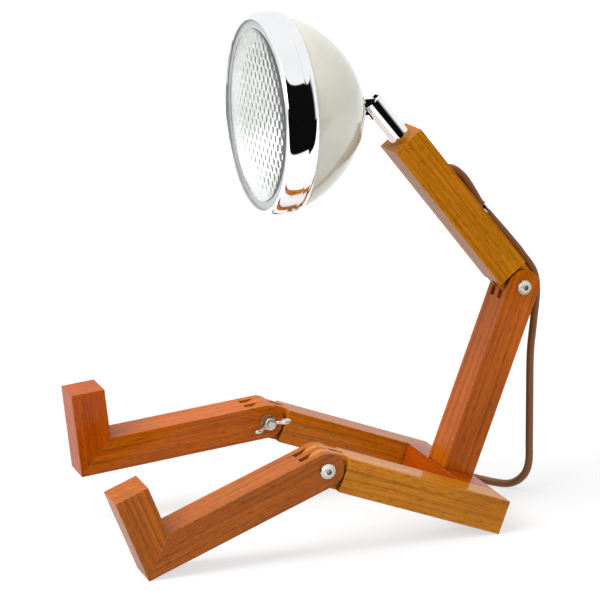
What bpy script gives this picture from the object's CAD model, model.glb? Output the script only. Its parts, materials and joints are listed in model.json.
import json
import math
import bmesh
import bpy
from mathutils import Matrix, Vector
from mathutils.geometry import interpolate_bezier

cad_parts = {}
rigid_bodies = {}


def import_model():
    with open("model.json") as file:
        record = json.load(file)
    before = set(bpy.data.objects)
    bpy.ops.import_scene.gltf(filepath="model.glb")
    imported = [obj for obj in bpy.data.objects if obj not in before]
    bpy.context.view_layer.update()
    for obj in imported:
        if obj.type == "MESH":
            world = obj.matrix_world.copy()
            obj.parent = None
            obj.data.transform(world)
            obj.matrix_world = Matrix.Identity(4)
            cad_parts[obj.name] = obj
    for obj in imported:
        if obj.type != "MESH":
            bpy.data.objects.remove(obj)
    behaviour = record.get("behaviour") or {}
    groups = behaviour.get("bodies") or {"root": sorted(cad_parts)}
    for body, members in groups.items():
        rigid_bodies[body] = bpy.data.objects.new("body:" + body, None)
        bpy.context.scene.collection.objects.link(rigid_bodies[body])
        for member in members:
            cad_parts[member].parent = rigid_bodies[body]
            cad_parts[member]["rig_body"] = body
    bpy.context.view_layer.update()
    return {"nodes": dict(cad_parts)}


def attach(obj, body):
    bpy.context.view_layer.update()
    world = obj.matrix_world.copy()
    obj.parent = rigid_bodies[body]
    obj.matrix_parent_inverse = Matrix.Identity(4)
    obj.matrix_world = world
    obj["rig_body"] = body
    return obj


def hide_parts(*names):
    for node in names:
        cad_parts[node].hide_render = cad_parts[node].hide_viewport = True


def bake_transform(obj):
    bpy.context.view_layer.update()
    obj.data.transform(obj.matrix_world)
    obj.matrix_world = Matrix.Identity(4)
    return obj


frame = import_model()
nodes = frame["nodes"]
scene = bpy.context.scene
print("stage: frame loaded,", len(nodes), "nodes")
scene.view_settings.view_transform = "Standard"

mm = 0.001  # metres

# The lamp's own sizes, in millimetres and degrees, as the solids have them
lampSizes = {
    "seatLean": 21.0,
    "frameShift": 119.8003,
    "legSide": 69.0,
    "thighLength": 155.5,
    "woodThick": 27.0,
    "rightKnee": 42.0,
    "leftKnee": 26.3,
    "trunkInset": 15.0,
    "trunkTop": 183.0,
    "trunkFold": 59.3,
    "beamLength": 157.5,
    "heelReach": 142.0,
    "pivotOut": 33.5,
    "lampTurn": 52.0,
}


def shift(x, y, z):
    return Matrix.Translation((x, y, z))


def turnX(angle):
    return Matrix.Rotation(math.radians(angle), 4, "X")


def turnY(angle):
    return Matrix.Rotation(math.radians(angle), 4, "Y")


def turnZ(angle):
    return Matrix.Rotation(math.radians(angle), 4, "Z")


# places of the moving bodies at rest: millimetres in, metres out
halfThick = lampSizes["woodThick"] / 2
atRow = Matrix.Scale(mm, 4)
atSeat = atRow @ shift(0, lampSizes["frameShift"], 0) @ turnX(-lampSizes["seatLean"])


def atKnee(side):
    fold = lampSizes["rightKnee"] if side > 0 else lampSizes["leftKnee"]
    return atSeat @ shift(side * lampSizes["legSide"], -lampSizes["thighLength"], halfThick) @ turnX(fold)


atTrunk = atSeat @ shift(0, -lampSizes["trunkInset"], lampSizes["trunkTop"])
atBeam = atTrunk @ turnX(lampSizes["trunkFold"])
atNeck = atBeam @ shift(0, 0, lampSizes["beamLength"])
atLamp = atNeck @ shift(0, 0, lampSizes["pivotOut"]) @ turnX(lampSizes["lampTurn"])

# Camera, at the photograph's viewing angle
cameraView = {
    "place": (1.7444, -0.6266, 0.6367),
    "right": (0.3365, 0.94158, -0.0143),
    "up": (-0.22126, 0.09381, 0.97069),
    "back": (0.91532, -0.32347, 0.2399),
    "lens": 148.64,
    "sensor": 36,
    "farthest": 60,
}
cameraData = bpy.data.cameras.new("photoCamera")
cameraData.lens = cameraView["lens"]
cameraData.sensor_width = cameraView["sensor"]
cameraData.clip_end = cameraView["farthest"]
camera = bpy.data.objects.new("photoCamera", cameraData)
scene.collection.objects.link(camera)
axes = Matrix([cameraView["right"], cameraView["up"], cameraView["back"]]).transposed()
camera.matrix_world = Matrix.Translation(cameraView["place"]) @ axes.to_quaternion().to_matrix().to_4x4()
scene.camera = camera


# Materials. A colour is written as it looks on a screen
def hexColour(code):
    parts = [int(code[i:i + 2], 16) / 255 for i in (1, 3, 5)]
    return tuple(p / 12.92 if p <= 0.04045 else ((p + 0.055) / 1.055) ** 2.4 for p in parts) + (1.0,)


def addNode(tree, kind, settings=None, links=None):
    node = tree.nodes.new(kind)
    for key, value in (settings or {}).items():
        if isinstance(key, int) or key in node.inputs:
            node.inputs[key].default_value = value
        else:
            setattr(node, key, value)
    for key, source in (links or {}).items():
        tree.links.new(source, node.inputs[key])
    return node


def newMaterial(name):
    material = bpy.data.materials.new(name)
    material.use_nodes = True
    tree = material.node_tree
    tree.nodes.clear()
    shader = tree.nodes.new("ShaderNodeBsdfPrincipled")
    output = tree.nodes.new("ShaderNodeOutputMaterial")
    tree.links.new(shader.outputs[0], output.inputs[0])
    return material, tree, shader


def setShader(shader, **values):
    for key, value in values.items():
        shader.inputs[key.replace("_", " ")].default_value = value


def mapRange(tree, source, low, high, toLow=0.0, toHigh=1.0, smooth=False):
    node = addNode(tree, "ShaderNodeMapRange", {"interpolation_type": "SMOOTHSTEP" if smooth else "LINEAR"},
                   {"Value": source})
    for key, value in (("From Min", low), ("From Max", high), ("To Min", toLow), ("To Max", toHigh)):
        node.inputs[key].default_value = value
    return node.outputs[0]


def noiseField(tree, vector, perMetre, detail=3.0, roughness=0.5, scale=(1, 1, 1), offset=0.0):
    moved = addNode(tree, "ShaderNodeMapping",
                    {"Scale": scale, "Location": (offset, 0.7 * offset, 1.3 * offset)}, {"Vector": vector})
    node = addNode(tree, "ShaderNodeTexNoise",
                   {"Scale": perMetre, "Detail": detail, "Roughness": roughness},
                   {"Vector": moved.outputs[0]})
    return node


def product(tree, first, second):
    return addNode(tree, "ShaderNodeMath", {"operation": "MULTIPLY"}, {0: first, 1: second}).outputs[0]


# where edges have been rubbed: there the rounded normal leaves the true one, broken up by noise
def edgeMask(tree, vector, radius, perMetre):
    rounded = addNode(tree, "ShaderNodeBevel", {"samples": 4, "Radius": radius})
    true = addNode(tree, "ShaderNodeNewGeometry")
    facing = addNode(tree, "ShaderNodeVectorMath", {"operation": "DOT_PRODUCT"},
                     {0: rounded.outputs[0], 1: true.outputs["Normal"]})
    edge = mapRange(tree, facing.outputs["Value"], 0.995, 0.90)
    broken = mapRange(tree, noiseField(tree, vector, perMetre).outputs["Fac"], 0.42, 0.62)
    return product(tree, edge, broken)


# Stained, lacquered oak: thin dark growth lines, short open pores, streaks of tone and a clear gloss coat.
# Sizes are in metres; a pair of levels is the least and the most.
oakLook = {
    "ring": 0.0042,  # width of one growth ring
    "heartAt": (0.033, 0.052),  # how far the tree's heart lies from the board's middle line
    "heartSpread": (0.012, 0.01),  # from board to board
    "heartTilt": (0.034, 0.026),  # radians
    "sway": 0.016,
    "ringLevels": (0.06, 0.55),  # how strongly the growth lines show
    "fibreLevels": (0.80, 1.16),  # tone of fibres 1 mm wide
    "streakLevels": (0.88, 1.10),  # tone of streaks 6 mm wide
    "cloudLevels": (0.90, 1.09),  # tone of broad clouds
    "poreLevels": (0.0, 0.55),  # dashes 0.5 mm wide and 6 mm long
    "slotReach": 0.006,
    "slotTone": 0.30,  # the finish lies thicker and darker in the slots
    "wornColour": "#E2A86A",  # rubbed edges show paler wood
    "wornReach": 0.0009,
    "wornShare": 0.35,
    "roughness": (0.46, 0.66),
    "coatWeight": 0.32,
    "coatRoughness": (0.05, 0.14),
}


def oakFinish(name, place, grain, light, dark, pore, seed):
    material, tree, shader = newMaterial(name)
    link = tree.links.new
    coords = addNode(tree, "ShaderNodeTexCoord")
    turned = place @ grain
    local = addNode(tree, "ShaderNodeMapping", {"vector_type": "TEXTURE"},
                    {"Vector": coords.outputs["Object"]})
    local.inputs["Location"].default_value = turned.to_translation()
    local.inputs["Rotation"].default_value = turned.to_3x3().normalized().to_euler()
    board = local.outputs[0]

    # noise of so many cells in a metre, drawn out along the grain
    def noiseLevels(perMetre, detail, roughness, scale, offset, low, high, levels):
        field = noiseField(tree, board, perMetre, detail, roughness, scale, offset)
        return mapRange(tree, field.outputs["Fac"], low, high, *levels)

    # the tree's heart runs a little out of line with the board, so the rings make long slanting lines
    sway = noiseField(tree, board, 17.0, 2.0, 0.45, (1, 0.14, 1), seed)
    swayed = addNode(tree, "ShaderNodeVectorMath", {"operation": "MULTIPLY_ADD"},
                     {0: sway.outputs["Color"], 2: board})
    swayed.inputs[1].default_value = (oakLook["sway"], 0.0, oakLook["sway"])
    heartPlace = (oakLook["heartAt"][0] + oakLook["heartSpread"][0] * math.sin(seed), 0.0,
                  oakLook["heartAt"][1] + oakLook["heartSpread"][1] * math.cos(seed))
    heartTilt = (oakLook["heartTilt"][0] * math.sin(2 * seed), 0.0,
                 oakLook["heartTilt"][1] * math.cos(3 * seed))
    heart = addNode(tree, "ShaderNodeMapping",
                    {"Location": heartPlace, "Rotation": heartTilt, "Scale": (1, 0.02, 1)},
                    {"Vector": swayed.outputs[0]})
    ringScale = 2 * math.pi / (20 * oakLook["ring"])  # a scale of 1 gives 20 / (2 pi) waves a metre
    rings = addNode(tree, "ShaderNodeTexWave",
                    {"wave_type": "RINGS", "rings_direction": "Y", "wave_profile": "SAW",
                     "Scale": ringScale}, {"Vector": heart.outputs[0]})
    lateWood = mapRange(tree, rings.outputs["Fac"], 0.45, 1.0, smooth=True)
    strength = noiseLevels(120.0, 2.0, 0.5, (1, 0.05, 1), seed + 4, 0.36, 0.62, oakLook["ringLevels"])
    body = addNode(tree, "ShaderNodeMix", {"data_type": "RGBA", 6: hexColour(light), 7: hexColour(dark)},
                   {0: product(tree, lateWood, strength)})
    fibre = noiseLevels(900.0, 3.0, 0.65, (1, 0.022, 1), seed, 0.3, 0.7, oakLook["fibreLevels"])
    streak = noiseLevels(150.0, 2.0, 0.5, (1, 0.05, 1), seed + 9, 0.3, 0.7, oakLook["streakLevels"])
    cloud = noiseLevels(32.0, 2.0, 0.5, (1, 0.4, 1), seed + 2, 0.3, 0.7, oakLook["cloudLevels"])
    hollow = addNode(tree, "ShaderNodeAmbientOcclusion", {"samples": 6, "Distance": oakLook["slotReach"]})
    depth = mapRange(tree, hollow.outputs["AO"], 0.15, 0.75, oakLook["slotTone"], 1.0)
    tone = product(tree, product(tree, fibre, streak), product(tree, cloud, depth))
    toned = addNode(tree, "ShaderNodeVectorMath", {"operation": "SCALE"},
                    {0: body.outputs[2], "Scale": tone})
    poreLine = noiseLevels(1700.0, 2.0, 0.55, (1, 0.075, 1), seed + 1, 0.575, 0.66, oakLook["poreLevels"])
    withPores = addNode(tree, "ShaderNodeMix", {"data_type": "RGBA", 7: hexColour(pore)},
                        {0: poreLine, 6: toned.outputs[0]})
    worn = mapRange(tree, edgeMask(tree, board, oakLook["wornReach"], 260.0), 0.0, 1.0, 0.0,
                    oakLook["wornShare"])
    rubbed = addNode(tree, "ShaderNodeMix", {"data_type": "RGBA", 7: hexColour(oakLook["wornColour"])},
                     {0: worn, 6: withPores.outputs[2]})
    link(rubbed.outputs[2], shader.inputs["Base Color"])
    link(mapRange(tree, poreLine, 0.0, 0.7, *oakLook["roughness"]), shader.inputs["Roughness"])
    bump = addNode(tree, "ShaderNodeBump", {"Strength": 0.3, "Distance": 0.0001, "invert": True},
                   {"Height": poreLine})
    link(bump.outputs[0], shader.inputs["Normal"])
    haze = noiseField(tree, board, 90.0, 3.0)
    link(mapRange(tree, haze.outputs["Fac"], 0.3, 0.7, *oakLook["coatRoughness"]),
         shader.inputs["Coat Roughness"])
    setShader(shader, IOR=1.50, Specular_IOR_Level=0.02, Coat_Weight=oakLook["coatWeight"], Coat_IOR=1.45)
    return material


# Other finishes. grit is (size in metres, roughness spread, bump in metres), wear is (colour, reach in
# metres), and cavity is (reach in metres, tone) for the grime in sockets and slots.
soiling = {"size": 14, "levels": (0.93, 1.04)}  # cloudy marks, this many times larger than the grit


def plainFinish(name, colour, rough, metallic=0.0, grit=None, wear=None, cavity=None, **more):
    material, tree, shader = newMaterial(name)
    setShader(shader, Base_Color=hexColour(colour), Metallic=metallic, Roughness=rough, **more)
    place = addNode(tree, "ShaderNodeTexCoord").outputs["Object"]
    if grit:
        size, spread, height = grit
        noise = noiseField(tree, place, 1 / size)
        roughness = mapRange(tree, noise.outputs["Fac"], 0.3, 0.7, max(0.0, rough - spread), rough + spread)
        tree.links.new(roughness, shader.inputs["Roughness"])
        soil = noiseField(tree, place, 1 / (soiling["size"] * size), 2.0, offset=3.0)
        shade = mapRange(tree, soil.outputs["Fac"], 0.3, 0.7, *soiling["levels"])
        if cavity:
            hollow = addNode(tree, "ShaderNodeAmbientOcclusion", {"samples": 6, "Distance": cavity[0]})
            shade = product(tree, shade, mapRange(tree, hollow.outputs["AO"], 0.30, 0.85, cavity[1], 1.0))
        tint = addNode(tree, "ShaderNodeVectorMath", {"operation": "SCALE", 0: hexColour(colour)[:3]},
                       {"Scale": shade})
        coloured = tint.outputs[0]
        if wear:
            rubbed = addNode(tree, "ShaderNodeMix", {"data_type": "RGBA", 7: hexColour(wear[0])},
                             {0: edgeMask(tree, place, wear[1], 500.0), 6: coloured})
            coloured = rubbed.outputs[2]
        tree.links.new(coloured, shader.inputs["Base Color"])
        if height:
            bump = addNode(tree, "ShaderNodeBump", {"Strength": 0.4, "Distance": height},
                           {"Height": noise.outputs["Fac"]})
            tree.links.new(bump.outputs[0], shader.inputs["Normal"])
    return material


# chrome on brass: mirror bright, a trace of polishing haze
chromePlate = plainFinish("chromePlate", "#F3F4F5", 0.035, 1.0, (0.004, 0.015, 0.0))
# zinc plated steel: duller and a little cloudy
zincSteel = plainFinish("zincPlatedSteel", "#D6D4CE", 0.24, 1.0, (0.0012, 0.07, 0.00002),
                        ("#F2F1EC", 0.0003))
# button heads: tumbled zinc, paler and more satin, with dark sockets
satinZinc = plainFinish("tumbledZincHeads", "#E0DCD0", 0.38, 0.60, (0.0010, 0.07, 0.00001),
                        ("#F6F4EE", 0.0003), (0.004, 0.05))
# oxide blacked screw: dark and oily
blackSteel = plainFinish("blackOxideSteel", "#4A4B4D", 0.34, 1.0, (0.0010, 0.06, 0.0), ("#8C8C8A", 0.0003))
# stove enamel on sheet steel: deep gloss with a faint orange peel
creamEnamel = plainFinish("creamStoveEnamel", "#D6D5C5", 0.22, 0.0, (0.0022, 0.03, 0.000008),
                          Coat_Weight=1.0, Coat_Roughness=0.03, Coat_IOR=1.5, IOR=1.5)
# vacuum plated reflector: bright, with a satin haze
silveredSheet = plainFinish("silveredReflector", "#F8F8F6", 0.30, 0.40, (0.003, 0.05, 0.0))
# rubber: matt and a little dusty
blackRubber = plainFinish("blackRubber", "#1B1B1C", 0.62, 0.0, (0.0006, 0.08, 0.00003), ("#3A3A3A", 0.0004))
# plasticised sheath: soft sheen, fine matt skin
brownSheath = plainFinish("brownPvcSheath", "#7C4A1E", 0.36, 0.0, (0.0009, 0.06, 0.00003), IOR=1.53)
# switch mouldings: hard and shiny in brown, satin in black
brownMoulding = plainFinish("brownPhenolicMoulding", "#3B2115", 0.24, 0.0, (0.0016, 0.05, 0.00001),
                            ("#5C3A28", 0.0004), IOR=1.6)
blackMoulding = plainFinish("blackPvcMoulding", "#202022", 0.44, 0.0, (0.0007, 0.07, 0.00002),
                            ("#414143", 0.0004))
# lamp holder: pale ceramic with a dull glaze
steatite = plainFinish("steatiteCeramic", "#E9E4D8", 0.30, 0.0, (0.0008, 0.05, 0.00001))
# dowels: bare pale wood
beechDowel = plainFinish("beechDowelWood", "#C9A26B", 0.55, 0.0, (0.0008, 0.06, 0.00003))
# plug pins: warm bright metal, brass at the rubbed edges
nickelBrass = plainFinish("nickelPlatedBrass", "#C9C2AE", 0.16, 1.0, (0.0015, 0.04, 0.0),
                          ("#D8B878", 0.0003))
# bulb: milky glass
frostedBulb = plainFinish("frostedBulbGlass", "#F4F1E8", 0.55, 0.0, (0.0006, 0.05, 0.0),
                          Transmission_Weight=0.35, IOR=1.5)


# pressed soda glass: clear, hardly tinted, with a ground rim that looks pale and even
glassLook = {
    "clearColour": "#F7FAF8",
    "groundColour": "#B6B8BB",
    "groundFrom": 0.0650,  # metres from the lamp's axis
    "groundTo": 0.0656,
    "roughness": (0.05, 0.32),
    "transmission": (1.0, 0.2),
}


def pressedGlass():
    material, tree, shader = newMaterial("pressedSodaGlass")
    setShader(shader, IOR=1.5)
    coords = addNode(tree, "ShaderNodeTexCoord")
    local = addNode(tree, "ShaderNodeMapping", {"vector_type": "TEXTURE"},
                    {"Vector": coords.outputs["Object"]})
    local.inputs["Location"].default_value = atLamp.to_translation()
    local.inputs["Rotation"].default_value = atLamp.to_3x3().normalized().to_euler()
    flat = addNode(tree, "ShaderNodeVectorMath", {"operation": "MULTIPLY"}, {0: local.outputs[0]})
    flat.inputs[1].default_value = (1, 1, 0)
    radius = addNode(tree, "ShaderNodeVectorMath", {"operation": "LENGTH"}, {0: flat.outputs[0]})
    ground = mapRange(tree, radius.outputs["Value"], glassLook["groundFrom"], glassLook["groundTo"])
    tone = addNode(tree, "ShaderNodeMix", {"data_type": "RGBA", 6: hexColour(glassLook["clearColour"]),
                   7: hexColour(glassLook["groundColour"])}, {0: ground})
    tree.links.new(tone.outputs[2], shader.inputs["Base Color"])
    tree.links.new(mapRange(tree, ground, 0.0, 1.0, *glassLook["roughness"]), shader.inputs["Roughness"])
    tree.links.new(mapRange(tree, ground, 0.0, 1.0, *glassLook["transmission"]),
                   shader.inputs["Transmission Weight"])
    noise = addNode(tree, "ShaderNodeTexNoise", {"Scale": 220.0, "Detail": 2.0},
                    {"Vector": coords.outputs["Object"]})
    bump = addNode(tree, "ShaderNodeBump", {"Strength": 0.15, "Distance": 0.00003},
                   {"Height": noise.outputs["Fac"]})
    tree.links.new(bump.outputs[0], shader.inputs["Normal"])
    return material


lensGlass = pressedGlass()
print("stage: materials")


# Helpers for pieces
def finishPiece(obj, material, body, replaced=(), smoothAngle=35):
    obj.data.materials.clear()
    obj.data.materials.append(material)
    for face in obj.data.polygons:
        face.use_smooth = True
    if smoothAngle:
        obj.data.set_sharp_from_angle(angle=math.radians(smoothAngle))
    if body:
        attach(obj, body)
    if replaced:
        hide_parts(*replaced)
    return obj


def newPiece(name, bm, place=None):
    if place is not None:
        bmesh.ops.transform(bm, matrix=place, verts=bm.verts)
    data = bpy.data.meshes.new(name)
    bm.to_mesh(data)
    bm.free()
    obj = bpy.data.objects.new(name, data)
    scene.collection.objects.link(obj)
    return obj


def bodyOf(nodeName):
    return nodes[nodeName]["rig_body"]


# a copy of a CAD node with its loose triangles merged, its flat faces joined and its sharp edges eased
easing = {"merge": 0.000002, "flat": 0.6, "angle": 32, "smooth": 30, "segments": 3}


def easedNode(nodeName, name, material, width):
    bm = bmesh.new()
    bm.from_mesh(nodes[nodeName].data)
    bmesh.ops.remove_doubles(bm, verts=bm.verts, dist=easing["merge"])
    bmesh.ops.dissolve_limit(bm, angle_limit=math.radians(easing["flat"]), verts=bm.verts, edges=bm.edges)
    obj = newPiece(name, bm)
    finishPiece(obj, material, bodyOf(nodeName), (nodeName,), easing["smooth"])
    ease = obj.modifiers.new("easedEdges", "BEVEL")
    ease.width = width * mm
    ease.segments = easing["segments"]
    ease.limit_method = "ANGLE"
    ease.angle_limit = math.radians(easing["angle"])
    ease.harden_normals = True
    ease.use_clamp_overlap = True
    return obj


# a turned piece: its outline of (radius, station) spun about the lamp's axis
def turnedPiece(name, outline, steps, place):
    bm = bmesh.new()
    verts = [bm.verts.new((r, 0, z)) for r, z in outline]
    edges = [bm.edges.new(pair) for pair in zip(verts, verts[1:] + verts[:1])]
    bmesh.ops.spin(bm, geom=verts + edges, cent=(0, 0, 0), axis=(0, 0, 1), angle=2 * math.pi, steps=steps,
                   use_merge=True)
    bmesh.ops.remove_doubles(bm, verts=bm.verts, dist=0.0005)
    bmesh.ops.dissolve_degenerate(bm, edges=bm.edges, dist=0.0001)
    bmesh.ops.recalc_face_normals(bm, faces=bm.faces)
    return newPiece(name, bm, place)


# Cords: the routes' points repeat the solids' own, in millimetres
cordSizes = {"diameter": 6.5, "exitUp": 113.0, "clipUp": 67.5, "clipRise": 0.5, "sides": 16,
             "ringsBetween": 3}
cordRadius = cordSizes["diameter"] / 2
toMm = Matrix.Scale(1000, 4)


def beamPoint(y, z):
    return toMm @ atBeam @ Vector((0, y, z))


beamDown = (beamPoint(0, -1) - beamPoint(0, 0)).normalized()
beamBack = (beamPoint(1, 0) - beamPoint(0, 0)).normalized()
exitWay = (beamDown + beamBack).normalized()
exitAt = beamPoint(halfThick, cordSizes["exitUp"])
clipAt = beamPoint(halfThick + cordSizes["clipRise"] + cordRadius, cordSizes["clipUp"])


# a point above the beam's back, and one between the cord's exit (share 0) and its clip (share 1)
def onBeam(up, lift):
    return beamPoint(halfThick + lift, up)


def loose(share, lift):
    return onBeam(cordSizes["exitUp"] + share * (cordSizes["clipUp"] - cordSizes["exitUp"]), lift)


# the coil winds inwards on the floor, climbs a layer and winds outwards again
coilShape = {"centre": (-138.0, 86.0, 3.3), "radius": 41.0, "pitch": 7.2, "layer": 6.95, "start": 180.0,
             "turnsIn": 2.25, "turnsUp": 0.5, "turnsOut": 2.125, "pointsPerTurn": 24}


def coilPoint(turn):
    innerRadius = coilShape["radius"] - coilShape["turnsIn"] * coilShape["pitch"]
    climb = max(0.0, min(coilShape["turnsUp"], turn - coilShape["turnsIn"]))
    out = max(0.0, turn - coilShape["turnsIn"] - coilShape["turnsUp"])
    if turn < coilShape["turnsIn"]:
        radius = coilShape["radius"] - turn * coilShape["pitch"]
    else:
        radius = innerRadius + coilShape["pitch"] * (out - min(climb, coilShape["turnsUp"] - climb))
    angle = math.radians(coilShape["start"] + 360 * turn)
    return Vector(coilShape["centre"]) + Vector((radius * math.cos(angle), radius * math.sin(angle),
                                                 coilShape["layer"] * climb / coilShape["turnsUp"]))


coilTotal = coilShape["turnsIn"] + coilShape["turnsUp"] + coilShape["turnsOut"]
coilSteps = round(coilTotal * coilShape["pointsPerTurn"])
coilRound = [coilPoint(coilTotal * i / coilSteps) for i in range(coilSteps + 1)]
coilInWay = (coilRound[1] - coilRound[0]).normalized()
coilOutWay = (coilRound[-1] - coilRound[-2]).normalized()
coilFirst = coilRound[0] - cordSizes["diameter"] * coilInWay
coilLast = coilRound[-1] + cordSizes["diameter"] * coilOutWay

switchPlace = {"centre": (-230.0, -6.0, 9.0), "half": 26.0, "sleeve": 20.0}
plugPlace = {"centre": (-212.8, -100.7, 7.0), "turn": -70.0, "half": 17.5}
plugWay = Vector((math.cos(math.radians(plugPlace["turn"])), math.sin(math.radians(plugPlace["turn"])), 0))
switchMiddle = Vector(switchPlace["centre"])
plugMiddle = Vector(plugPlace["centre"])
switchReach = switchPlace["half"] + switchPlace["sleeve"]

# between these points the cord bends with the trunk's fold
blendStart = onBeam(31, 5)
blendEnd = Vector((0, 188.3, 152))
lampRoute = [
    exitAt - 2 * exitWay, exitAt + 4.5 * exitWay, loose(0.262, 6), loose(0.416, 6.3), loose(0.668, 5.2),
    clipAt - 4 * beamDown, clipAt + 4 * beamDown, onBeam(51, 4.2), onBeam(41, 4.7), blendStart,
    onBeam(21, 5.3), onBeam(12, 5), (0, 184.6, 189), (0, 188.3, 181), (0, 189.6, 172), (0, 189.4, 162),
    blendEnd, (0, 186.85, 138.8), (0, 185, 121), (0, 184.5, 104), (0, 184.5, 88), (0, 184.5, 72),
    (0, 184.5, 56), (0, 184.5, 41), (0, 184.5, 30), (-1, 184, 22.5), (-3, 182.5, 16), (-6, 180, 11),
    (-10.5, 177, 6.8), (-15.5, 173, 4.2), (-21, 169, 3.3), (-36, 158.5, 3.3), (-52, 150.5, 3.3),
    (-70, 146.5, 3.3), (-92, 145.5, 3.3), (-114, 145.5, 3.3), (-134, 145.5, 3.3), (-146, 143.8, 3.3),
    (-156.7, 139.5, 3.3), (-168.7, 129.4, 3.3), (-176.5, 115.9, 3.3), coilFirst - 8 * coilInWay, coilFirst,
    *coilRound, coilLast, coilLast + 12 * coilOutWay, (-190, 90.8, 8.8), (-200, 80.8, 6.3),
    (-210, 70.5, 4.4), (-219, 60, 4.4), (-225.7, 51, 6.4), switchMiddle + Vector((0, switchReach + 5, 0)),
    switchMiddle + Vector((0, switchReach, 0)), switchMiddle + Vector((0, switchPlace["half"] - 3, 0)),
]
plugRoute = [
    switchMiddle - Vector((0, switchPlace["half"] - 3, 0)), switchMiddle - Vector((0, switchReach, 0)),
    (-229, -59, 8.2), plugMiddle - (plugPlace["half"] + 20) * plugWay,
    plugMiddle - (plugPlace["half"] - 3) * plugWay,
]


# a round tube along a smooth curve through the route's points
def cordPiece(name, route):
    ringsBetween = cordSizes["ringsBetween"]
    points = [Vector(p) * mm for p in route]
    curve = bpy.data.curves.new(name + "Line", "CURVE")
    curve.dimensions = "3D"
    curve.bevel_depth = cordRadius * mm
    curve.bevel_resolution = cordSizes["sides"] // 4 - 2
    curve.resolution_u = ringsBetween
    curve.use_fill_caps = True
    spline = curve.splines.new("BEZIER")
    spline.bezier_points.add(len(points) - 1)
    for knot, place in zip(spline.bezier_points, points):
        knot.co = place
        knot.handle_left_type = knot.handle_right_type = "AUTO"
    line = bpy.data.objects.new(name + "Line", curve)
    scene.collection.objects.link(line)
    bpy.context.view_layer.update()
    path = []
    for a, b in zip(spline.bezier_points, spline.bezier_points[1:]):
        path += list(interpolate_bezier(a.co, a.handle_right, b.handle_left, b.co, ringsBetween + 1))[:-1]
    path.append(points[-1])
    mesh = bpy.data.meshes.new_from_object(line.evaluated_get(bpy.context.evaluated_depsgraph_get()))
    mesh.name = name
    bpy.data.objects.remove(line)
    obj = bpy.data.objects.new(name, mesh)
    scene.collection.objects.link(obj)
    length = sum((b - a).length for a, b in zip(path, path[1:]))
    print("cord", name, "is", round(length, 4), "m long")
    return obj, path, length


lampCord, lampPath, lampLength = cordPiece("lampCord", lampRoute)
finishPiece(lampCord, brownSheath, None,
            ("beam_cord", "hinge_cord", "hanging_cord", "cord_coil", "switch_cord"), 0)
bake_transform(lampCord)
plugCord, plugPath, plugLength = cordPiece("plugCord", plugRoute)
finishPiece(plugCord, brownSheath, "seat", ("plug_cord",), 0)
print("stage: cords")

# Timber
alongY = Matrix.Identity(4)
alongX = turnZ(90)
alongZ = turnX(90)
timberEase = 0.6  # millimetres
heel = shift(0, -lampSizes["heelReach"], 0)
# each timber's frame, grain direction, colours of early wood, late wood and pores, and seed
timbers = {
    "thigh_right": (atSeat @ shift(lampSizes["legSide"], 0, halfThick), alongY,
                    ("#C67A15", "#8A4606", "#552504"), 1.3),
    "thigh_left": (atSeat @ shift(-lampSizes["legSide"], 0, halfThick), alongY,
                   ("#BE6810", "#824006", "#502204"), 2.1),
    "hip_rail": (atSeat @ shift(0, -lampSizes["trunkInset"], halfThick), alongX,
                 ("#AC4604", "#742E04", "#461A02"), 3.7),
    "trunk_post": (atTrunk, alongZ, ("#B85A05", "#7A3604", "#461C03"), 4.2),
    "neck_beam": (atBeam, alongZ, ("#CC7D12", "#8E4C06", "#562704"), 5.9),
    "shin_right": (atKnee(1), alongY, ("#AE5A18", "#743608", "#481E04"), 6.4),
    "foot_right": (atKnee(1) @ heel, alongZ, ("#AF5B0E", "#682C06", "#401C04"), 7.8),
    "shin_left": (atKnee(-1), alongY, ("#BA5B08", "#783A08", "#4A2004"), 8.5),
    "foot_left": (atKnee(-1) @ heel, alongZ, ("#B24C05", "#6C2E04", "#401C03"), 9.1),
}
for nodeName, (place, grain, colours, seed) in timbers.items():
    finish = oakFinish("lacqueredOak_" + nodeName, place, grain, *colours, seed)
    easedNode(nodeName, "timber_" + nodeName, finish, timberEase)
print("stage: timber")

# Lamp head
headShape = {"shellRadius": 73.8, "domeDepth": 60.0, "domePower": 1.43, "domeBase": 72.7, "shellSheet": 1.0,
             "rimLength": 11.0, "flat": 9.0, "studHole": 6.1, "rings": 48, "steps": 160}
shellFront = headShape["domeBase"] + headShape["rimLength"]


def domeLine(radius, depth):
    line = []
    for i in range(headShape["rings"] + 1):
        angle = math.pi / 2 * i / headShape["rings"]
        drop = depth * math.cos(angle) ** (2 / headShape["domePower"])
        line.append((radius * math.sin(angle), headShape["domeBase"] - drop))
    return line


domeFlat = headShape["domeBase"] - headShape["domeDepth"] * (
    1 - (headShape["flat"] / headShape["shellRadius"]) ** 2) ** (1 / headShape["domePower"])
sheet = headShape["shellSheet"]
outer = [(headShape["studHole"], domeFlat), (headShape["flat"], domeFlat)]
outer += [p for p in domeLine(headShape["shellRadius"], headShape["domeDepth"])
          if p[0] > headShape["flat"] + 1]
inner = [(headShape["studHole"], domeFlat + sheet), (headShape["flat"] + 0.3, domeFlat + sheet)]
inner += [p for p in domeLine(headShape["shellRadius"] - sheet, headShape["domeDepth"] - sheet)
          if p[0] > headShape["flat"] + 1.3]
rim = [(headShape["shellRadius"], shellFront), (headShape["shellRadius"] - sheet, shellFront)]
shellOutline = outer + rim + inner[::-1]
shell = turnedPiece("enamelledShell", shellOutline, headShape["steps"], atLamp)
finishPiece(shell, creamEnamel, "head", ("lamp_shell",), 40)

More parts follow.
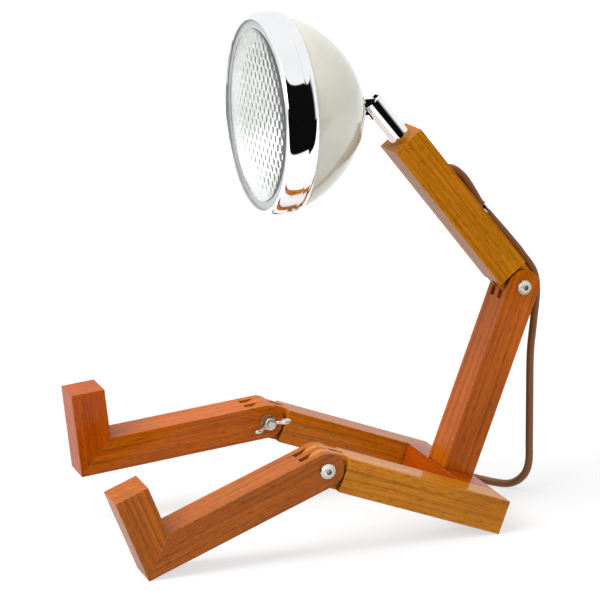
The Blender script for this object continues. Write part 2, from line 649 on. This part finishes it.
# the bezel: a lip, a rounded band and behind it a rolled bead that grips the shell
bezelShape = {"radius": 77.8, "open": 71.8, "depth": 24.0, "sheet": 1.0, "band": 14.6, "lip": 0.9,
              "edge": 0.4, "fit": 0.15, "beadStep": 0.7, "bandRings": 20, "steps": 192}
lipZ = headShape["domeBase"] + bezelShape["depth"]
bezelBack = lipZ - bezelShape["depth"]
bandBack = lipZ - bezelShape["band"]
bandBulge = bezelShape["radius"] - bezelShape["open"] - bezelShape["lip"]
fitRadius = headShape["shellRadius"] + bezelShape["fit"]
beadRadius = bezelShape["radius"] - bezelShape["beadStep"]


def bandLine(inset, count):
    line = []
    for i in range(count + 1):
        angle = math.pi / 2 * i / count
        line.append((bezelShape["radius"] - inset - bandBulge * (1 - math.sin(angle)),
                     bandBack + (lipZ - inset - bandBack - bezelShape["edge"]) * math.cos(angle)))
    return line


bezelOpen = bezelShape["open"]
lipLine = [(bezelOpen, lipZ - bezelShape["sheet"]), (bezelOpen, lipZ - 0.35), (bezelOpen + 0.1, lipZ - 0.1),
           (bezelOpen + 0.35, lipZ)]
beadLine = [(beadRadius - 0.95, bandBack - 0.45), (beadRadius - 0.75, bandBack - 0.75),
            (beadRadius - 0.25, bandBack - 1.5), (beadRadius - 0.05, bandBack - 2.5),
            (beadRadius, bandBack - 4.0), (beadRadius - 0.1, bandBack - 5.4),
            (beadRadius - 0.4, bandBack - 6.5), (beadRadius - 0.85, bandBack - 7.5),
            (beadRadius - 1.4, bandBack - 8.4), (fitRadius + 1.3, bezelBack + 0.25),
            (fitRadius + 0.7, bezelBack), (fitRadius + 0.2, bezelBack + 0.1), (fitRadius, bezelBack + 0.5)]
innerLine = [(fitRadius, shellFront + 0.2),
             (bezelShape["radius"] - bezelShape["sheet"] - 0.6, shellFront + 0.8)]
innerLine += [p for p in bandLine(bezelShape["sheet"], 8)[::2] if p[1] > shellFront + 1]
bezelOutline = lipLine + bandLine(0, bezelShape["bandRings"]) + beadLine + innerLine
bezel = turnedPiece("chromedBezel", bezelOutline, bezelShape["steps"], atLamp)
finishPiece(bezel, chromePlate, "head", ("bezel",), 50)

# the glass: flat rim, slight crown, honeycomb of small lenses on its inner side
glassShape = {"radius": 73.0, "thick": 3.2, "gap": 1.2, "crown": 2.2, "crownRadius": 65.5, "crownRings": 16,
              "patternRadius": 64.0, "patternFade": 22.0, "cellWide": 9.4, "cellTall": 5.9,
              "cellRise": 0.48, "cellReach": 0.34, "ringStep": 0.9, "rings": 72, "rimFrom": 65.7,
              "rimStep": 0.5, "rimRings": 14, "steps": 256}
glassFront = lipZ - bezelShape["sheet"] - glassShape["gap"]
glassBack = glassFront - glassShape["thick"]
crownRadius = glassShape["crownRadius"]
backLine = [(glassShape["ringStep"] * i, glassBack) for i in range(1, glassShape["rings"] + 1)]
backLine += [(glassShape["rimFrom"] + glassShape["rimStep"] * i, glassBack)
             for i in range(glassShape["rimRings"])]
crownLine = []
for i in range(glassShape["crownRings"]):
    angle = math.pi / 2 * i / glassShape["crownRings"]
    crownLine.append((crownRadius * math.cos(angle),
                      glassFront + 0.3 + (glassShape["crown"] - 0.3) * math.sin(angle)))
frontLine = [(glassShape["radius"], glassBack + 0.3), (glassShape["radius"], glassFront - 0.3),
             (glassShape["radius"] - 0.3, glassFront), (crownRadius + 3.0, glassFront),
             (crownRadius + 1.0, glassFront + 0.05)] + crownLine
glassOutline = [(0, glassBack)] + backLine + frontLine + [(0, glassFront + glassShape["crown"])]


def cellHeight(x, y):
    # the nearest centre of two offset rows of cells; the cells meet in sharp creases
    best = math.inf
    row = round(y / glassShape["cellTall"])
    for near in (row - 1, row, row + 1):
        offset = 0.5 * (near % 2)
        column = round(x / glassShape["cellWide"] - offset) + offset
        dx = (x - column * glassShape["cellWide"]) / glassShape["cellWide"]
        dy = (y - near * glassShape["cellTall"]) / glassShape["cellWide"]
        best = min(best, dx * dx + dy * dy)
    return glassShape["cellRise"] * (1 - best / glassShape["cellReach"])


def patternedGlass():
    bm = bmesh.new()
    verts = [bm.verts.new((r, 0, z)) for r, z in glassOutline]
    edges = [bm.edges.new((a, b)) for a, b in zip(verts, verts[1:])]
    bmesh.ops.spin(bm, geom=verts + edges, cent=(0, 0, 0), axis=(0, 0, 1), angle=2 * math.pi,
                   steps=glassShape["steps"], use_merge=True)
    bmesh.ops.remove_doubles(bm, verts=bm.verts, dist=0.0005)
    for vert in bm.verts:
        if abs(vert.co.z - glassBack) < 0.001:
            radius = math.hypot(vert.co.x, vert.co.y)
            if radius < glassShape["patternRadius"]:
                fade = min(1.0, (glassShape["patternRadius"] - radius) / glassShape["patternFade"])
                vert.co.z -= fade * cellHeight(vert.co.x, vert.co.y)
    bmesh.ops.recalc_face_normals(bm, faces=bm.faces)
    return newPiece("patternedGlass", bm, atLamp)


glass = patternedGlass()
finishPiece(glass, lensGlass, "head", ("headlamp_glass",), 0)

# the reflector: a parabolic bowl with a flange against the glass's gasket
bowlShape = {"mouth": 66.5, "hole": 14.0, "depth": 53.0, "sheet": 0.8, "flange": 72.5, "gasket": 1.8,
             "rings": 40, "steps": 128}
flangeZ = glassBack - bowlShape["gasket"]
bowlFactor = (bowlShape["mouth"] ** 2 - bowlShape["hole"] ** 2) / bowlShape["depth"]


def bowlLine(grow):
    line = []
    for i in range(bowlShape["rings"] + 1):
        r = bowlShape["hole"] + (bowlShape["mouth"] - bowlShape["hole"]) * i / bowlShape["rings"]
        rise = (r * r - bowlShape["hole"] ** 2) / bowlFactor
        line.append((r + grow, flangeZ - bowlShape["depth"] + rise - grow * 0.6))
    return line


flange = [(bowlShape["flange"], flangeZ), (bowlShape["flange"], flangeZ - bowlShape["sheet"])]
bowlOutline = bowlLine(0) + flange + bowlLine(bowlShape["sheet"])[::-1]
bowl = turnedPiece("reflectorBowl", bowlOutline, bowlShape["steps"], atLamp)
finishPiece(bowl, silveredSheet, "head", ("reflector",), 40)
print("stage: lamp head")

# Cast wing nuts: a tapered hub and two round-edged wings
nutShape = {"seat": 17.6, "hole": 3.05, "hub": 5.5, "hubTop": 4.5, "height": 8.0, "wingThick": 2.6,
            "round": 0.95, "steps": 40}
wingLine = [(4.0, 1.0), (6.2, 2.1), (9.2, 4.4), (12.0, 6.6), (14.2, 8.3), (15.2, 9.9), (15.5, 11.6),
            (15.0, 13.4), (13.7, 14.6), (11.9, 15.0), (10.0, 14.5), (8.6, 13.2), (7.5, 11.4), (6.5, 9.7),
            (5.4, 8.4), (4.0, 7.6)]
hubLine = [(nutShape["hole"], 0), (nutShape["hub"] - 0.2, 0), (nutShape["hub"], 0.25),
           (nutShape["hub"] - 0.1, 1.2), (nutShape["hubTop"] + 0.1, nutShape["height"] - 0.9),
           (nutShape["hubTop"] - 0.15, nutShape["height"] - 0.3),
           (nutShape["hubTop"] - 0.6, nutShape["height"]), (nutShape["hole"] + 0.4, nutShape["height"]),
           (nutShape["hole"], nutShape["height"] - 0.4)]
nutTurns = {"trunk": 60, "right": 75, "left": 97}
mirrorX = Matrix.Scale(-1, 4, (1, 0, 0))


def wingNut(nodeName, place):
    bm = bmesh.new()
    verts = [bm.verts.new((r, 0, z)) for r, z in hubLine]
    edges = [bm.edges.new(pair) for pair in zip(verts, verts[1:] + verts[:1])]
    bmesh.ops.spin(bm, geom=verts + edges, cent=(0, 0, 0), axis=(0, 0, 1), angle=2 * math.pi,
                   steps=nutShape["steps"], use_merge=True)
    for side in (-1, 1):
        corners = [bm.verts.new((side * u, -nutShape["wingThick"] / 2, w)) for u, w in wingLine]
        face = bm.faces.new(corners)
        made = bmesh.ops.extrude_face_region(bm, geom=[face])["geom"]
        moved = [v for v in made if isinstance(v, bmesh.types.BMVert)]
        bmesh.ops.translate(bm, vec=(0, nutShape["wingThick"], 0), verts=moved)
        flats = [face] + [f for f in made if isinstance(f, bmesh.types.BMFace)]
        rounded = list(dict.fromkeys(edge for flat in flats for edge in flat.edges))
        bmesh.ops.bevel(bm, geom=rounded, offset=nutShape["round"], offset_type="OFFSET", segments=4,
                        profile=0.5, affect="EDGES", material=-1, clamp_overlap=True)
    bmesh.ops.transform(bm, matrix=place, verts=bm.verts)
    bmesh.ops.recalc_face_normals(bm, faces=bm.faces)
    finishPiece(newPiece("cast_" + nodeName, bm), zincSteel, bodyOf(nodeName),
                (nodeName,), 40)


outward = shift(-nutShape["seat"], 0, 0)
wingNut("trunk_wing_nut", atTrunk @ outward @ turnX(nutTurns["trunk"]) @ turnY(-90))
wingNut("wing_nut_right", atKnee(1) @ outward @ turnX(nutTurns["right"]) @ turnY(-90))
wingNut("wing_nut_left", atKnee(-1) @ mirrorX @ outward @ turnX(nutTurns["left"]) @ turnY(-90))

# Small metal, rubber and plastic parts keep their solids' shapes, with edges eased by this many millimetres
smallParts = {
    "trunk_bolt": (satinZinc, 0.25), "knee_bolt_right": (satinZinc, 0.25),
    "knee_bolt_left": (satinZinc, 0.25), "trunk_washers": (zincSteel, 0.15),
    "knee_washers_right": (zincSteel, 0.15), "knee_washers_left": (zincSteel, 0.15),
    "neck_tube": (chromePlate, 0.3), "head_lug": (chromePlate, 0.3), "cord_clip": (chromePlate, 0.2),
    "cable_bush": (blackRubber, 0.4), "bezel_screw": (zincSteel, 0.2),
    "switch_base": (brownMoulding, 0.8), "switch_cover": (brownMoulding, 0.8),
    "switch_rocker": (blackMoulding, 0.5), "cord_sleeves": (blackRubber, 0.4),
    "plug_body": (blackMoulding, 1.2), "plug_pins": (nickelBrass, 0.3),
}
# hidden or tiny parts stay as their solids are
plainParts = {
    "post_screws": zincSteel, "neck_screw": blackSteel, "clip_screw": zincSteel, "tilt_pin": zincSteel,
    "lug_nut": zincSteel, "lug_washer": zincSteel, "rim_clips": zincSteel, "holder_bracket": zincSteel,
    "switch_screws": zincSteel, "rail_dowels": beechDowel, "heel_dowels_right": beechDowel,
    "heel_dowels_left": beechDowel, "glass_gasket": blackRubber, "lamp_holder": steatite,
    "bulb": frostedBulb, "inner_cable": brownSheath, "neck_wires": brownSheath, "lamp_wires": brownSheath,
}
for nodeName, (material, width) in smallParts.items():
    easedNode(nodeName, "eased_" + nodeName, material, width)
for nodeName, material in plainParts.items():
    data = nodes[nodeName].data
    data.materials.clear()
    data.materials.append(material)
print("stage: small parts")


# Studio: white paper, soft lamps, and a dark room on the camera's side that only mirrors see
studio = {
    "paper": "#A4A4A4",
    "paperRadius": 14.0,
    "glow": 0.62,  # of the paper under the lamp, as the camera and mirrors see it
    "farGlow": 1.0,
    "glowFrom": 0.35,  # metres from the lamp
    "glowTo": 1.1,
    "ambient": 0.38,  # light of the white room on the object
    "dark": 0.004,
    "darkSide": (0.963, -0.27),  # the camera's side
    "darkTop": 0.62,  # how high the dark room reaches, as a share of straight up
    "darkNear": (0.12, 0.52),  # how far round it reaches, fading between these
    "paperReach": 0.48,  # metres towards the camera
    "fade": (0.02, 0.03),  # of the dark room's top and of the paper's end
    "throughGlass": 0.4,
}


def towardsCamera(tree, vector):
    side = addNode(tree, "ShaderNodeVectorMath", {"operation": "DOT_PRODUCT"}, {0: vector})
    side.inputs[1].default_value = (*studio["darkSide"], 0.0)
    return side.outputs["Value"]


# the dark room shows in mirrors, and more weakly through the headlamp's glass
def darkRoomShare(tree, rays):
    weaker = mapRange(tree, rays.outputs["Is Transmission Ray"], 0.0, 1.0, 1.0, studio["throughGlass"])
    return product(tree, rays.outputs["Is Glossy Ray"], weaker)


def studioFloor():
    bm = bmesh.new()
    bmesh.ops.create_circle(bm, cap_ends=True, segments=96, radius=studio["paperRadius"])
    floor = newPiece("studioFloor", bm)
    material, tree, shader = newMaterial("paperBackdrop")
    setShader(shader, Base_Color=hexColour(studio["paper"]), Roughness=0.9, Specular_IOR_Level=0.0)
    rays = addNode(tree, "ShaderNodeLightPath")
    seen = addNode(tree, "ShaderNodeMath", {"operation": "MAXIMUM"},
                   {0: rays.outputs["Is Camera Ray"], 1: rays.outputs["Is Glossy Ray"]})
    seenToo = addNode(tree, "ShaderNodeMath", {"operation": "MAXIMUM"},
                      {0: seen.outputs[0], 1: rays.outputs["Is Transmission Ray"]})
    # the paper glows more away from the lamp: the backdrop stays white and the shadow by the feet is kept
    place = addNode(tree, "ShaderNodeTexCoord").outputs["Object"]
    away = addNode(tree, "ShaderNodeVectorMath", {"operation": "LENGTH"}, {0: place})
    glow = mapRange(tree, away.outputs["Value"], studio["glowFrom"], studio["glowTo"],
                    studio["glow"], studio["farGlow"])
    tree.links.new(product(tree, seenToo.outputs[0], glow), shader.inputs["Emission Strength"])
    shader.inputs["Emission Color"].default_value = (1, 1, 1, 1)
    # in mirrors the paper ends towards the camera
    beyond = mapRange(tree, towardsCamera(tree, place), studio["paperReach"],
                      studio["paperReach"] + studio["fade"][1])
    dark = addNode(tree, "ShaderNodeEmission", {"Color": (1, 1, 1, 1), "Strength": studio["dark"]})
    both = addNode(tree, "ShaderNodeMixShader", {}, {0: product(tree, beyond, darkRoomShare(tree, rays)),
                   1: shader.outputs[0], 2: dark.outputs[0]})
    output = [node for node in tree.nodes if node.bl_idname == "ShaderNodeOutputMaterial"][0]
    tree.links.new(both.outputs[0], output.inputs[0])
    floor.data.materials.append(material)


studioFloor()

# the white room: dimmer for the light it sheds, and dark on one side for mirrors
world = bpy.data.worlds.new("studioWorld")
scene.world = world
world.use_nodes = True
worldTree = world.node_tree
worldTree.nodes.clear()
skyWay = addNode(worldTree, "ShaderNodeTexCoord").outputs["Generated"]
skyHeight = addNode(worldTree, "ShaderNodeSeparateXYZ", {}, {0: skyWay}).outputs[2]
lowSky = mapRange(worldTree, skyHeight, studio["darkTop"], studio["darkTop"] + studio["fade"][0], 1.0, 0.0)
nearSky = mapRange(worldTree, towardsCamera(worldTree, skyWay), *studio["darkNear"])
skyRays = addNode(worldTree, "ShaderNodeLightPath")
mirrored = product(worldTree, product(worldTree, lowSky, nearSky), darkRoomShare(worldTree, skyRays))
mirrorLevel = mapRange(worldTree, mirrored, 0.0, 1.0, 1.0, studio["dark"])
diffuseLevel = mapRange(worldTree, skyRays.outputs["Is Diffuse Ray"], 0.0, 1.0, 1.0, studio["ambient"])
sky = addNode(worldTree, "ShaderNodeBackground", {"Color": (1, 1, 1, 1)},
              {"Strength": product(worldTree, mirrorLevel, diffuseLevel)})
addNode(worldTree, "ShaderNodeOutputWorld", {}, {0: sky.outputs[0]})

# only the front lamp shows in mirrors, which otherwise see the even white room
softLamps = {
    "overheadSoftbox": {"power": 40.0, "size": 1.6, "place": (0.1, -1.1, 1.85), "target": (0, 0, 0.15),
                        "mirrored": False},
    "sideSoftbox": {"power": 14.0, "size": 1.2, "place": (1.75, 0.2, 0.95), "target": (0, 0, 0.2),
                    "mirrored": False},
    "frontSoftbox": {"power": 20.0, "size": 1.2, "place": (0.2, -2.0, 1.1), "target": (0, 0, 0.2),
                     "mirrored": True},
}
for name, lamp in softLamps.items():
    light = bpy.data.lights.new(name, "AREA")
    light.shape = "SQUARE"
    light.size = lamp["size"]
    light.energy = lamp["power"]
    obj = bpy.data.objects.new(name, light)
    scene.collection.objects.link(obj)
    obj.location = lamp["place"]
    towards = Vector(lamp["target"]) - Vector(lamp["place"])
    obj.rotation_euler = towards.to_track_quat("-Z", "Y").to_euler()
    obj.visible_glossy = lamp["mirrored"]
print("stage: studio")
